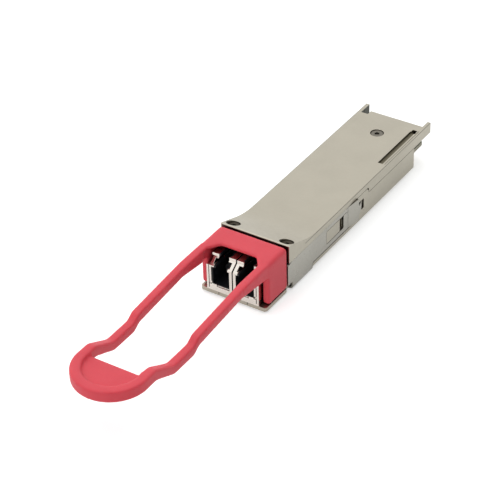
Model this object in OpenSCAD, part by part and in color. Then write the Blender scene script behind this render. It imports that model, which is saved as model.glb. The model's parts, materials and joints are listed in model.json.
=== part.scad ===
// Pluggable optical transceiver module with a duplex fibre receptacle and a red pull tab.
// Lengths in millimetres. X runs across the module, Y from the fibre end to the card edge,
// Z upwards. The origin lies below the middle of the whole part, on the surface it rests on.
// Inside the modules, Y = 0 is the cover's front edge and Z = 0 the base's underside.

/* [Module body] */
// Width of the module
module_w = 18.35; // [17.6:0.05:20]
// Height of the part that enters the cage
cage_h = 8.5; // [8.2:0.1:9.5]
// Height of the top at the front edge
nose_h = 11.95; // [11.3:0.05:13]
// Radius of the top's front edge
nose_round = 0.3; // [0.1:0.05:0.5]
// Length of the sloping top behind the front edge
ramp_len = 10; // [8:0.5:13]
// Radius that blends the slope into the flat top
ramp_blend = 25; // [10:1:30]
// Length of the top cover's plate
cover_len = 64.6; // [60:0.1:70]
// Length of the side ears behind the cover's plate
ear_len = 2.7; // [1:0.1:5]
// How far the cover reaches past the base, over the card edge
overhang = 5.7; // [5:0.1:7]
// Thickness of the cover's top plate
cover_t = 1.2; // [0.9:0.1:1.4]
// Thickness of the base's floor
floor_t = 1.0; // [0.7:0.1:1.2]
// Wall thickness of the cover's side flanges
flange_t = 0.9; // [0.7:0.05:1]
// Depth of the seam below the flat top, towards the card edge
seam_depth = 2.8; // [2.4:0.1:3.2]
// Depth of the seam below the flat top, above the latch arms
front_seam_depth = 1.45; // [1.3:0.05:1.8]
// Open width of the seam between cover and base
seam_gap = 0.1; // [0.05:0.05:0.2]

/* [Nose] */
// Length of the base's lip under the receptacle
lip_len = 9.6; // [8:0.1:10.5]
// Thickness of that lip
lip_t = 1.0; // [0.8:0.05:1.4]
// How far the lip and nose reach below the base
nose_drop = 0.62; // [0.4:0.02:0.8]
// How far the lip's sides stand in from the module's
lip_inset = 0.36; // [0.3:0.02:1]
// How far the nose's sides stand in from the module's
nose_inset = 1.02; // [0.9:0.02:1.2]

/* [Latch bracket and travel] */
// Sheet thickness of the latch bracket
sheet_t = 0.42; // [0.3:0.02:0.5]
// Clearance of the bracket to the housing
slide_gap = 0.12; // [0.08:0.01:0.2]
// How far the pull tab and bracket slide out
travel = 1.7; // [1:0.1:2.5]
// Length of the chin under the base
chin_len = 8.6; // [6:0.1:10]
// Start of the chin behind the cover's front edge
chin_y = 1.6; // [1:0.1:2]
// Radius of the bend between side plate and chin
chin_r = 1.1; // [0.6:0.1:1.5]
// Height of the lower edge of each arm
arm_z = 1.15; // [1:0.05:1.5]
// Gap between the arms and the cover above them
arm_gap = 0.07; // [0.04:0.01:0.2]
// Length of the housing boss that shows in the window
boss_len = 6.0; // [5:0.1:7]
// Height of the window
window_h = 3.6; // [3:0.1:4]
// Length of metal behind the window
bridge_len = 2.1; // [1.5:0.1:3]
// Length of the flared end of each arm
flap_len = 4.4; // [3.5:0.1:5.5]
// How far the flared end stands out
flap_out = 0.55; // [0.2:0.05:0.6]
// Length of the narrow tip behind the flap
tip_len = 2.5; // [1.5:0.1:3]

/* [Receptacle] */
// Distance between the two fibre axes
fibre_pitch = 6.25; // [6:0.05:6.8]
// Width of the opening for the plug
port_w = 4.68; // [4.4:0.02:4.9]
// Height of the opening for the plug
port_h = 4.68; // [4.4:0.02:5]
// Width between the port's shoulders
shoulder_w = 3.1; // [2.8:0.1:3.4]
// Width of the slot in the port's top
slot_w = 2.5; // [2.2:0.1:2.8]
// How far the port frames stand in front of the cover
frame_len = 9.65; // [9.3:0.05:11]
// Width of metal beside the outer fibre axes, past half the pitch
frame_edge = 0.69; // [0.5:0.01:0.8]
// Bore radius of the ceramic sleeves
sleeve_bore_r = 0.6265; // [0.6:0.0005:0.66]
// Wall of the ceramic sleeves
sleeve_t = 0.18; // [0.12:0.02:0.25]
// Length of the ceramic sleeves
sleeve_len = 6.0; // [5:0.1:6.6]
// Outer radius of the barrels round the sleeves
barrel_r = 1.45; // [1.3:0.05:1.6]

/* [Pull tab] */
// How far the collar's sides stand in from the module's
collar_inset = 0.175; // [0.1:0.025:0.4]
// Clearance between the collar's legs and the port frames
collar_clear = 0.31; // [0.2:0.01:0.4]
// How far the collar's top lies below the cover's front edge
collar_drop = 0.2; // [0:0.05:0.5]
// Thickness of the collar's top plate
collar_t = 1.0; // [0.8:0.05:1.1]
// Gap between collar and housing
collar_gap = 0.55; // [0.4:0.05:0.8]
// How far the legs reach in front of the cover
leg_len = 8.5; // [8:0.1:9.5]
// Height of the legs' lower ends
leg_z = 0.68; // [0.6:0.02:0.9]
// How far the straps' outer sides stand in from the module's
strap_inset = 0.275; // [0.2:0.025:0.6]
// Width of each strap
strap_w = 2.2; // [1.6:0.1:2.6]
// Thickness of the straps
strap_t = 2.5; // [2:0.05:2.8]
// Length of the level stretch of collar and straps
level_len = 17.5; // [13:0.5:22]
// How far the straps' top has dropped below the collar's at the step
strap_drop = 1.5; // [0.8:0.05:2.4]
// Depth of the step in the straps
step_h = 1.3; // [0.8:0.1:1.8]
// Distance from that step to the centre of the finger loop
step_back = 19.2; // [15:0.1:25]
// Centre of the finger loop in front of the cover
loop_y = 55.1; // [48:0.1:64]
// Outer radius of the finger loop
loop_r = 8.95; // [8.9:0.05:11]
// How far the loop's top lies above the straps'
loop_rise = 1.95; // [0.5:0.05:2.6]
// Width of the loop's raised rim
rim_w = 2.5; // [2:0.1:3.2]
// Thickness of that rim
rim_t = 2.9; // [2.5:0.05:3.3]
// Depth of the recessed web below the rim
web_drop = 1.0; // [0.5:0.05:1.2]
// Thickness of the web
web_t = 0.9; // [0.6:0.05:1]

/* [Board] */
// Clearance of the card edge to the cover's flanges
card_gap = 0.065; // [0.03:0.005:0.2]
// How far the card edge reaches behind the cover's plate
card_proud = 0.6; // [0.2:0.1:2]
// Thickness of the board
board_t = 1.0; // [0.8:0.05:1.1]
// Height of the board's lower face
board_z = 2.95; // [2.6:0.05:3.2]
// Start of the board behind the cover's front edge
board_y = 17.5; // [15.5:0.1:20]
// Number of contacts on each face
contact_n = 19; // [11:1:20]
// Width of each contact
contact_w = 0.54; // [0.4:0.02:0.6]
// Length of each contact
contact_len = 3.2; // [1.5:0.1:4]
// Thickness of each contact
contact_t = 0.05; // [0.03:0.01:0.08]

/* [Screws] */
// Radius of the screw heads
head_r = 1.5; // [1.2:0.05:1.6]
// Height of the screw heads
head_h = 0.55; // [0.4:0.05:0.7]
// Radius of the screw shanks
shank_r = 0.75; // [0.6:0.05:0.85]
// Clearance round heads and shanks
screw_gap = 0.2; // [0.1:0.02:0.25]
// How far the front screws stand in from the module's sides
front_screw_inset = 2.025; // [1.9:0.025:2.3]
// Place of the front screws behind the front edge
front_screw_y = 2.2; // [2:0.05:2.6]
// Distance of the rear screw from the base's end
rear_screw_back = 2.5; // [2.3:0.1:4]

/* [Springs] */
// Length of each return spring at rest
spring_len = 4.9; // [4:0.1:5.5]
// Outer radius of each return spring
spring_r = 0.6; // [0.5:0.02:0.68]
// Wire thickness of each return spring
spring_wire = 0.18; // [0.12:0.02:0.2]
// Number of turns of each return spring
spring_turns = 8; // [5:1:9]

/* [Hidden] */
$fn = 48;

half_w = module_w/2;
eps = 0.01;
far = 90;                                // longer than any piece
sides = [-1, 1];
clear = 0.1;                             // between pieces that don't move

// Whole part: front of the loop, rear of the ears and the lowest face
front_end = -(loop_y + loop_r);
rear_end = cover_len + ear_len;
chin_z = -(nose_drop + slide_gap + sheet_t);

// Base, and the seam line between it and the cover
base_len = cover_len - overhang;
seam_z = cage_h - seam_depth;
front_seam_z = cage_h - front_seam_depth;
lip_w = module_w - 2*lip_inset;
nose_w = module_w - 2*nose_inset;

// Arms: recess, return spring, window, bridge, flap and tip
arm_top = front_seam_z - arm_gap;
ledge_top = front_seam_z - seam_gap;     // of the base's wall behind the arms
arm_in = half_w - sheet_t;               // inner face of the bracket's side plates
recess_x = arm_in - slide_gap;           // floor of the recess that the arms run in
chin_end = chin_y + chin_len;
spring_y = chin_end + 0.7;
lug_t = sheet_t;
window_y = spring_y + spring_len + lug_t + 0.18;
window_end = window_y + slide_gap + boss_len + travel + slide_gap;
flap_y = window_end + bridge_len;
flap_end = flap_y + flap_len;
tip_end = flap_end + tip_len;
window_z = (arm_z + arm_top)/2 - window_h/2 + 0.1;
slit_h = 0.12;                           // relief slit above the bridge
crease = 0.14;                           // coined line where the flap bends out
tip_z = window_z + 0.4;
tip_h = 2.3;
hook = 0.25;                             // how far the tip bends back in
recess_z = arm_z - 0.25;                 // lower edge of the recess in the base
recess_end = tip_end + 1.4;
recess_r = 0.8;
latch_depth = 0.45;                      // of the pocket behind the flap
pocket_end = recess_end + 1.46;          // where the seam steps down
step_r = 1.2;
spring_z = (arm_z + arm_top)/2;
spring_x = recess_x - spring_r - clear;
spring_room_x = spring_x - spring_r - 0.08;

// Cavity of the housing
rear_wall = 1.0;
front_wall = 1.25;
wall_step = 0.325;                       // base walls reach this far past the cover's flanges
cover_in = half_w - flange_t;            // inner face of the cover's flanges
cavity_w = 2*(cover_in - wall_step);
under_top = cage_h - cover_t;

// Board and chips
board_w = cavity_w - 0.5;
card_w = 2*(cover_in - card_gap);
card_end = cover_len + card_proud;
card_step = base_len + 0.15;             // where the board widens to the card edge
card_chamfer = 0.4;
contact_edge = 0.74;                     // bare board beside the outer contacts
contact_back = 0.5;                      // bare board behind the contacts
contact_pitch = (card_w - 2*contact_edge - contact_w)/(contact_n - 1);
board_top = board_z + board_t;
chip_h = 1.0;
low_chip_h = 0.8;
pad_t = 0.5;
retimer_w = board_w/2 - 2.2;
retimer_l = 7;
retimer_x = board_w/4 - 0.45;
retimer_y = board_y + 13.5;
driver_w = 3.4;
driver_y = board_y + 6.1;
micro_w = 5;
micro_y = base_len - 9.9;
rail_x = board_w/2 - 0.9;                // rails under the board's sides

// Receptacle
fibre_z = cage_h/2 + 0.2;
liner_t = 0.25;
frame_gap = 0.3;                         // seam between the two frames
centre_wall = 0.72;                      // metal of each frame beside that seam
flange_lap = 0.34;                       // how far the flange narrows the neck's opening
sill_tab_h = 0.35;
sill_dip = 0.2;
frames_w = 2*(fibre_pitch + frame_edge);
frame_z = lip_t - nose_drop;             // frames stand on the lip
frame_top = nose_h - 2.5;
frame_rear = -1.2;
liner_setback = 0.35;
port_floor = fibre_z - port_h/2;
shoulder_z = fibre_z + port_h/2 - 0.2;
neck_z = shoulder_z + 0.62;
neck_w = fibre_pitch - 1.27;
neck_y = 1.95;                           // the frames lean back this far above the neck
slot_z = frame_top - 0.75;

// Screws
front_screw_x = half_w - front_screw_inset;
rear_screw_y = base_len - rear_screw_back;
head_seat_front = nose_h - 2.05;
head_seat_rear = cage_h - 0.75;
front_boss_r = head_r + screw_gap + 0.5;
front_boss_z = head_seat_front - 0.75;
front_thread_end = floor_t + 2.75;
rear_thread_end = floor_t + 0.75;
rear_joint_z = board_top + 1.2;          // where the two rear posts meet
post_r = 1.1;
rear_post_r = 1.4;
thread_gap = 0.03;
socket_r = 0.45;
socket_depth = 0.35;

// Optical subassemblies
flange_y = front_screw_y - post_r - clear;   // receptacle flange held between the shells
barrel_front = flange_y - sleeve_len - 0.4;
optic_w = fibre_pitch - 0.55;
optic_h = 2*(under_top - pad_t - fibre_z);
optic_front = 3.6;
optic_rear = board_y - 4.1;
neck_tube_r = 1.4;
saddle_w = 4;
saddle_end = 1.5;
optics_w = fibre_pitch + optic_w + 1.65;
optics_end = board_y - 0.7;              // where the cavity widens for the board
flex_w = 4.2;
flex_t = 0.16;

// Pull tab
collar_w = module_w - 2*collar_inset;
collar_in_w = frames_w + 2*collar_clear;
collar_top = nose_h - collar_drop;
collar_round = 1;
collar_bevel = 0.3;
strap_out_w = module_w - 2*strap_inset;
strap_z = collar_top - strap_drop;
loop_z = strap_z + loop_rise;
collar_len = leg_len + 2.2;
gusset_len = 10.5;                       // stretch where each strap deepens towards its leg
gusset_h = 1.3;
step_y = loop_y - step_back;
step_len = 2;
climb_foot = loop_y - 9.8;               // where the straps begin to rise to the loop
climb_head = loop_y - 3.4;
web_back = 1.4;                          // from the loop's centre back to the web's straight edge
tongue_x = nose_w/2 + slide_gap;         // bracket's tongue inside each leg
tongue_z = [2, 6];
tongue_back = 2.5;

/* ---------- helpers ---------- */

module placed() {
    translate([0, -(front_end + rear_end)/2, -chin_z]) children();
}

function unit(v) = v/norm(v);

// Points of an arc that rounds the corner b between a and c, or the corner itself where r is 0
function corner(a, b, c, r, n) =
    r <= 0 ? [b] :
    let (u = unit(a - b), v = unit(c - b),
         half = acos(u*v)/2,
         m = b + unit(u + v)*r/sin(half),
         p = b + u*r/tan(half), q = b + v*r/tan(half),
         pa = p - m, qa = q - m,
         turn = atan2(pa[0]*qa[1] - pa[1]*qa[0], pa*qa),
         start = atan2(pa[1], pa[0]))
    [for (i = [0:n]) m + r*[cos(start + turn*i/n), sin(start + turn*i/n)]];

// Closed outline of [x, y, corner radius] rows with its corners rounded
function rounded(rows, n = 8) =
    let (k = len(rows), xy = [for (p = rows) [p[0], p[1]]])
    [for (i = [0:k-1]) each corner(xy[(i + k - 1)%k], xy[i], xy[(i + 1)%k], rows[i][2], n)];

function reversed(rows) = [for (i = [len(rows) - 1:-1:0]) rows[i]];

// Extrudes an outline drawn in Y and Z from x0 to x1
module along_x(x0, x1) {
    translate([x0, 0, 0]) rotate([90, 0, 90]) linear_extrude(x1 - x0) children();
}

// Extrudes an outline drawn in X and Z from y0 back to y1
module along_y(y0, y1) {
    translate([0, y1, 0]) rotate([90, 0, 0]) linear_extrude(y1 - y0) children();
}

// Extrudes an outline drawn in X and Y from z up by h
module upwards(z, h) {
    translate([0, 0, z]) linear_extrude(h) children();
}

// Round bar along Y
module bar_y(x, y0, y1, z, r) {
    translate([x, y0, z]) rotate([-90, 0, 0]) cylinder(h = y1 - y0, r = r);
}

module block(lo, hi) {
    translate(lo) cube(hi - lo);
}

module one_side(s) {
    if (s < 0) mirror([1, 0, 0]) children();
    else children();
}

module both_sides() {
    for (s = sides) one_side(s) children();
}

/* ---------- housing ---------- */

// Side outline of the cover's top, lowered by drop, closed by the rows of its lower edge
function cover_outline(drop, lower) = rounded(concat([
    [rear_end, cage_h - drop, 0],
    [ramp_len, cage_h - drop, ramp_blend],
    [0, nose_h - drop, nose_round]], lower));

// Lower edge of the cover's flanges, which step down behind the latch pocket
seam_rows = [
    [0, front_seam_z, 0],
    [pocket_end + seam_gap, front_seam_z, step_r/2],
    [pocket_end + seam_gap, seam_z, 0],
    [rear_end, seam_z, 0]];

// Outline of what hangs below the cover's plate, down to a level
function under_slope(z) = cover_outline(eps, [[0, z, 0], [rear_end, z, 0]]);

// Room for a screw's head above its seat and its shank below
module screw_seat(x, y, seat_z) {
    translate([x, y, seat_z]) cylinder(h = far, r = head_r + screw_gap);
    translate([x, y, seat_z - far]) cylinder(h = far + eps, r = shank_r + screw_gap/2);
}

module cover_shell() {
    difference() {
        along_x(-half_w, half_w) polygon(cover_outline(0, seam_rows));
        // hollow under the plate
        along_x(-cover_in, cover_in) polygon(rounded([
            [rear_end + eps, under_top, 0],
            [ramp_len, under_top, ramp_blend],
            [front_wall, nose_h - cover_t - (nose_h - cage_h)*front_wall/ramp_len, 0],
            [front_wall, 0, 0],
            [rear_end + eps, 0, 0]]));
        // way in for the receptacle
        block([-cover_in, -eps, 0], [cover_in, front_wall + eps, frame_top + clear]);
        // the plate stops short of the ears
        block([-cover_in, cover_len, 0], [cover_in, rear_end + eps, far]);
    }
}

module cover_bosses() {
    // bosses of the front screws, below the slope
    intersection() {
        along_x(-half_w, half_w) polygon(under_slope(front_boss_z));
        both_sides() translate([front_screw_x, front_screw_y, front_boss_z])
            cylinder(h = far, r = front_boss_r);
    }
    // boss of the rear screw
    translate([0, rear_screw_y, rear_joint_z])
        cylinder(h = under_top + eps - rear_joint_z, r = rear_post_r);
}

// Pedestals that draw heat from the chips and optics, and the wall over the card edge
module cover_pedestals() {
    pedestal_w = 2*retimer_x + 3.6;
    pedestal_l = retimer_l + 3;
    block([-pedestal_w/2, retimer_y - pedestal_l/2, board_top + chip_h + pad_t],
          [pedestal_w/2, retimer_y + pedestal_l/2, under_top + eps]);
    intersection() {
        along_x(-(fibre_pitch + optic_w)/2, (fibre_pitch + optic_w)/2)
            polygon(under_slope(under_top));
        block([-far, optic_front + 1, 0], [far, optic_rear - 1, far]);
    }
    block([-cavity_w/2 + clear, base_len - rear_wall, board_top + clear],
          [cavity_w/2 - clear, base_len, under_top + eps]);
    block([-cover_in - eps, base_len - rear_wall, seam_z], [cover_in + eps, base_len, under_top + eps]);
}

// Long groove beside the right edge with a hole at its rear end, and the notch in the rear left corner
module cover_cuts() {
    groove_x = half_w - 2.42;
    groove_w = 1.65;
    groove_end = cover_len - 2.4;
    groove_y = groove_end - 17.4;
    block([groove_x, groove_y, cage_h - 0.45], [groove_x + groove_w, groove_end - 1, far]);
    block([groove_x + 0.2, groove_end - 1.6, under_top - eps], [groove_x + groove_w - 0.2, groove_end, far]);
    block([groove_x + groove_w + 0.12, groove_y, cage_h - 0.12], [groove_x + groove_w + 0.3, groove_end, far]);
    block([-cover_in - eps, cover_len - 1.6, 0], [-cover_in + 1.9, cover_len + eps, far]);
}

module top_cover() {
    color([0.74, 0.72, 0.66]) placed() difference() {
        union() {
            cover_shell();
            cover_bosses();
            cover_pedestals();
        }
        both_sides() screw_seat(front_screw_x, front_screw_y, head_seat_front);
        screw_seat(0, rear_screw_y, head_seat_rear);
        cover_cuts();
    }
}

// Outline of the base seen from the side
function base_outline() = rounded([
    [0, 0, 0], [base_len, 0, 0],
    [base_len, seam_z - seam_gap, 0],
    [pocket_end, seam_z - seam_gap, 0],
    [pocket_end, ledge_top, step_r],
    [0, ledge_top, 0]]);

// Recess for one arm of the bracket, as seen from the side
module arm_recess_outline() {
    polygon(rounded([
        [-eps, -far, 0], [chin_end + slide_gap, -far, 0], [chin_end + slide_gap, recess_z, 0],
        [recess_end, recess_z, recess_r], [recess_end, front_seam_z + 1, 0], [-eps, front_seam_z + 1, 0]]));
}

// What is cut from one side of the base for the bracket and its spring
module arm_room() {
    difference() {
        along_x(recess_x, half_w + 1) arm_recess_outline();
        // boss that shows in the arm's window
        block([0, window_y + slide_gap, window_z + slide_gap],
              [half_w, window_y + slide_gap + boss_len, window_z + window_h - slide_gap]);
    }
    // deeper stretch beside the nose
    block([nose_w/2, -eps, -far], [half_w + 1, chin_end + slide_gap, far]);
    // room for the return spring and the bracket's lug
    block([spring_room_x, spring_y, spring_z - spring_r - clear],
          [half_w, spring_y + spring_len + lug_t + clear, spring_z + spring_r + clear]);
    // pocket behind the flared end, where the cage's latch finger sits
    block([recess_x - latch_depth, flap_y + 1, window_z], [half_w, recess_end - 0.4, window_z + window_h]);
    // room for the front screw's post
    translate([front_screw_x, front_screw_y, floor_t]) cylinder(h = far, r = post_r - eps);
}

module base_tray() {
    difference() {
        union() {
            along_x(-half_w, half_w) polygon(base_outline());
            block([-nose_w/2, 0, -nose_drop], [nose_w/2, chin_end + slide_gap, eps]);
        }
        // cavity: narrow beside the optics, wide for the board, open at the card edge
        block([-optics_w/2, -eps, floor_t], [optics_w/2, optics_end + eps, far]);
        block([-cavity_w/2, optics_end, floor_t], [cavity_w/2, base_len - rear_wall, far]);
        block([-cavity_w/2, base_len - rear_wall - eps, board_z - clear], [cavity_w/2, base_len + eps, far]);
        both_sides() arm_room();
    }
}

// Lip under the receptacle, marked by two fine grooves
module lip() {
    bevel = 0.5;
    groove_x = 3.74;
    difference() {
        upwards(-nose_drop, lip_t) polygon([
            [-lip_w/2, eps], [-lip_w/2, bevel - lip_len], [bevel - lip_w/2, -lip_len],
            [lip_w/2 - bevel, -lip_len], [lip_w/2, bevel - lip_len], [lip_w/2, eps]]);
        both_sides() block([groove_x, -lip_len - eps, -nose_drop + 0.25], [groove_x + 0.16, 0.3 - lip_len, far]);
        both_sides() block([nose_w/2, -0.7, -far], [half_w, 1, far]);
    }
}

// Post with the thread of a screw, from the floor up
module screw_post(x, y, top, r) {
    difference() {
        translate([x, y, 0]) cylinder(h = top, r = r);
        translate([x, y, floor_t]) cylinder(h = far, r = shank_r + thread_gap);
    }
}

module base_shell() {
    color([0.70, 0.69, 0.64]) placed() union() {
        base_tray();
        lip();
        both_sides() screw_post(front_screw_x, front_screw_y, front_boss_z, post_r);
        screw_post(0, rear_screw_y, rear_joint_z, rear_post_r);
        // saddles under the optics and rails under the board
        for (s = sides)
            block([s*fibre_pitch/2 - saddle_w/2, optic_front + saddle_end, floor_t - eps],
                  [s*fibre_pitch/2 + saddle_w/2, optic_rear - saddle_end, fibre_z - optic_h/2]);
        both_sides() block([rail_x, board_y + 1, floor_t - eps], [cavity_w/2 + eps, base_len - 3, board_z]);
    }
}

/* ---------- screws ---------- */

// Flat head with a six-lobed socket on a plain shank
module screw(shank_len) {
    lobe_r = socket_r/2;
    difference() {
        cylinder(h = head_h, r = head_r);
        translate([0, 0, head_h - socket_depth]) for (a = [0:60:300])
            rotate(a) translate([socket_r, 0, 0]) cylinder(h = 1, r = lobe_r, $fn = 16);
        translate([0, 0, head_h - socket_depth]) cylinder(h = 1, r = socket_r);
    }
    translate([0, 0, -shank_len]) cylinder(h = shank_len + eps, r = shank_r);
}

module front_screws() {
    color([0.35, 0.34, 0.31]) placed() both_sides()
        translate([front_screw_x, front_screw_y, head_seat_front]) screw(head_seat_front - front_thread_end);
}

module rear_screw() {
    color([0.45, 0.44, 0.42]) placed()
        translate([0, rear_screw_y, head_seat_rear]) screw(head_seat_rear - rear_thread_end);
}

/* ---------- receptacle ---------- */

// Opening of one port about its own axis, wider by grow on each side
module port_outline(grow) {
    p = port_w/2 + grow;
    s = shoulder_w/2 + grow;
    n = neck_w/2 + grow;
    t = slot_w/2 + grow;
    polygon([
        [-p, port_floor - grow], [p, port_floor - grow], [p, shoulder_z + grow],
        [s, shoulder_z + grow], [s, neck_z + grow], [n, neck_z + grow],
        [n, slot_z - grow], [t, slot_z - grow], [t, frame_top + 1],
        [-t, frame_top + 1], [-t, slot_z - grow], [-n, slot_z - grow],
        [-n, neck_z + grow], [-s, neck_z + grow], [-s, shoulder_z + grow], [-p, shoulder_z + grow]]);
}

// The frames' front: upright up to the neck, then leaning back to the top
module frame_side_outline(setback, rear, top) {
    front = -frame_len + setback;
    polygon([
        [front, frame_z], [front, neck_z], [front + neck_y, slot_z],
        [front + neck_y, top], [rear, top], [rear, frame_z]]);
}

// Opening in the flange at a frame's front, which hides the liner's edge; +X is the outer side
module flange_outline() {
    inner = (fibre_pitch - frame_gap)/2 - centre_wall;
    outer = port_w/2 + liner_t;
    shoulder = shoulder_w/2 + liner_t;
    neck = neck_w/2 - flange_lap;
    slot = slot_w/2 + liner_t;
    polygon([
        [-inner, port_floor - liner_t], [outer, port_floor - liner_t], [outer, shoulder_z + liner_t],
        [shoulder, shoulder_z + liner_t], [shoulder, neck_z + liner_t], [neck, neck_z + liner_t],
        [neck, slot_z - liner_t], [slot, slot_z - liner_t], [slot, frame_top + 1],
        [-slot + flange_lap, frame_top + 1], [-slot + flange_lap, slot_z - liner_t],
        [-neck, slot_z - liner_t], [-neck, neck_z + liner_t], [-shoulder, neck_z + liner_t],
        [-shoulder, shoulder_z + liner_t], [-inner, shoulder_z + liner_t]]);
}

module port_frame(s) {
    axis = fibre_pitch/2;
    outer = axis + port_w/2 + liner_t;
    sill_side = outer - 1.4;             // a tab stands on the sill from here outwards
    sill_z = port_floor - liner_t;
    one_side(s) difference() {
        union() {
            difference() {
                along_x(frame_gap/2, frames_w/2) frame_side_outline(0, frame_rear, frame_top);
                translate([axis, 0, 0]) along_y(-frame_len - 1, 1) flange_outline();
                // room for the liner behind the flange
                intersection() {
                    translate([axis, 0, 0]) along_y(-frame_len, 1) port_outline(liner_t);
                    along_x(0, half_w) frame_side_outline(liner_setback, 1, frame_top + 1);
                }
            }
            block([sill_side, -frame_len, frame_z], [outer + eps, -frame_len + liner_setback, sill_z + sill_tab_h]);
        }
        // lower sill beside the tab
        block([frame_gap/2 + centre_wall, -frame_len - 1, sill_z - sill_dip],
              [sill_side, -frame_len + liner_setback, fibre_z]);
        // groove that parts the outer wall's front in two
        block([outer + 0.5, -frame_len - 1, frame_z + 0.5], [outer + 0.7, -frame_len + 0.3, neck_z]);
    }
}

module port_frame_left() {
    color([0.86, 0.82, 0.76]) placed() port_frame(-1);
}

module port_frame_right() {
    color([0.86, 0.82, 0.76]) placed() port_frame(1);
}

// Liner of one port, inside its frame
module port_liner() {
    intersection() {
        along_y(-frame_len + liner_setback, frame_rear + eps) difference() {
            port_outline(liner_t);
            port_outline(0);
        }
        along_x(-half_w, half_w) frame_side_outline(liner_setback, frame_rear, frame_top);
    }
}

module receptacle_body() {
    hold_w = fibre_pitch + 5.35;
    sleeve_room = sleeve_bore_r + sleeve_t + 0.02;
    color([0.07, 0.08, 0.10]) placed() difference() {
        union() {
            for (s = sides) translate([s*fibre_pitch/2, 0, 0]) port_liner();
            // back wall, and the flange that the shells hold
            block([-frames_w/2, frame_rear, frame_z], [frames_w/2, 0, frame_top]);
            block([-hold_w/2, -eps, floor_t], [hold_w/2, flange_y, front_boss_z - clear]);
            for (s = sides) bar_y(s*fibre_pitch/2, barrel_front, flange_y, fibre_z, barrel_r);
        }
        for (s = sides) bar_y(s*fibre_pitch/2, barrel_front - 1, far, fibre_z, sleeve_room);
    }
}

// Split tube that lines up the ferrules
module ceramic_sleeve(s) {
    slit_w = 0.24;
    translate([s*fibre_pitch/2, barrel_front + 0.2, fibre_z]) rotate([-90, 0, 0]) difference() {
        cylinder(h = sleeve_len, r = sleeve_bore_r + sleeve_t);
        translate([0, 0, -1]) cylinder(h = sleeve_len + 2, r = sleeve_bore_r);
        block([-slit_w/2, 0, -1], [slit_w/2, 2, sleeve_len + 1]);
    }
}

module ceramic_sleeve_left() {
    color([0.95, 0.95, 0.92]) placed() ceramic_sleeve(-1);
}

module ceramic_sleeve_right() {
    color([0.95, 0.95, 0.92]) placed() ceramic_sleeve(1);
}

/* ---------- optics ---------- */

// Box with a stepped nose that closes the rear of the sleeve
module optical_housing(s) {
    translate([s*fibre_pitch/2, 0, 0]) {
        block([-optic_w/2, optic_front, fibre_z - optic_h/2], [optic_w/2, optic_rear, fibre_z + optic_h/2]);
        bar_y(0, flange_y, flange_y + 1.5, fibre_z, neck_tube_r + 0.6);
        bar_y(0, flange_y, optic_front + eps, fibre_z, neck_tube_r);
    }
}

module transmitter_housing() {
    color([0.80, 0.72, 0.50]) placed() optical_housing(-1);
}

module receiver_housing() {
    color([0.72, 0.73, 0.75]) placed() optical_housing(1);
}

// Ribbon from a subassembly's back, down onto the board
module flex(s) {
    y0 = optic_rear;
    y1 = board_y + 0.4;
    y2 = board_y + 3.2;
    high = fibre_z + 1.2;
    fold = 0.6;
    translate([s*fibre_pitch/2, 0, 0]) along_x(-flex_w/2, flex_w/2) polygon(rounded([
        [y0, high + fold, 0], [y0, high - fold, 0], [y0 + flex_t, high - fold, 0],
        [y0 + flex_t, high, 0.25], [y0 + 1.6, high, 0.5], [y1, board_top, 0.5], [y2, board_top, 0],
        [y2, board_top + flex_t, 0], [y1 + 0.1, board_top + flex_t, 0.6],
        [y0 + 1.7, high + flex_t, 0.6], [y0 + flex_t, high + flex_t, 0.2], [y0 + flex_t, high + fold, 0]], 5));
}

module transmitter_flex() {
    color([0.75, 0.52, 0.20]) placed() flex(-1);
}

module receiver_flex() {
    color([0.75, 0.52, 0.20]) placed() flex(1);
}

/* ---------- board ---------- */

module circuit_board() {
    color([0.30, 0.36, 0.22]) placed() difference() {
        upwards(board_z, board_t) polygon([
            [-board_w/2, board_y], [board_w/2, board_y], [board_w/2, card_step],
            [card_w/2, card_step], [card_w/2, card_end - card_chamfer], [card_w/2 - card_chamfer, card_end],
            [-card_w/2 + card_chamfer, card_end], [-card_w/2, card_end - card_chamfer],
            [-card_w/2, card_step], [-board_w/2, card_step]]);
        translate([0, rear_screw_y, 0]) cylinder(h = far, r = rear_post_r + 0.15);
    }
}

module contact_row(z) {
    y = card_end - contact_back - contact_len;
    for (i = [0:contact_n - 1])
        translate([(i - (contact_n - 1)/2)*contact_pitch - contact_w/2, y, z])
            cube([contact_w, contact_len, contact_t]);
}

module edge_contacts_top() {
    color([0.85, 0.68, 0.25]) placed() contact_row(board_top);
}

module edge_contacts_bottom() {
    color([0.85, 0.68, 0.25]) placed() contact_row(board_z - contact_t);
}

module chip(x, y, w, l, h) {
    block([x - w/2, y - l/2, board_top], [x + w/2, y + l/2, board_top + h]);
}

module transmit_retimer() {
    color([0.12, 0.12, 0.13]) placed() chip(-retimer_x, retimer_y, retimer_w, retimer_l, chip_h);
}

module receive_retimer() {
    color([0.12, 0.12, 0.13]) placed() chip(retimer_x, retimer_y, retimer_w, retimer_l, chip_h);
}

module microcontroller() {
    color([0.13, 0.13, 0.14]) placed() chip(0, micro_y, micro_w, micro_w, low_chip_h);
}

module laser_driver() {
    color([0.14, 0.14, 0.16]) placed() chip(-retimer_x, driver_y, driver_w, driver_w, low_chip_h);
}

// Capacitors and coils in rows beside the chips
module small_components() {
    cap = [0.5, 1.0, 0.5];
    coil = [2.0, 1.6, 1.0];
    cap_pitch = 3.2;
    coil_pitch = 2.6;
    color([0.62, 0.50, 0.38]) placed() {
        for (s = sides) for (i = [0:5])
            chip(s*(board_w/2 - 1.1), retimer_y - 4 + cap_pitch*i, cap[0], cap[1], cap[2]);
        for (i = [0:2]) chip(micro_w - 0.6, micro_y - 3.4 + coil_pitch*i, coil[0], coil[1], coil[2]);
        for (i = [0:3]) chip(-micro_w - 0.2, micro_y - 4 + 1.8*i, cap[1], cap[0], cap[2]);
    }
}

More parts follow.
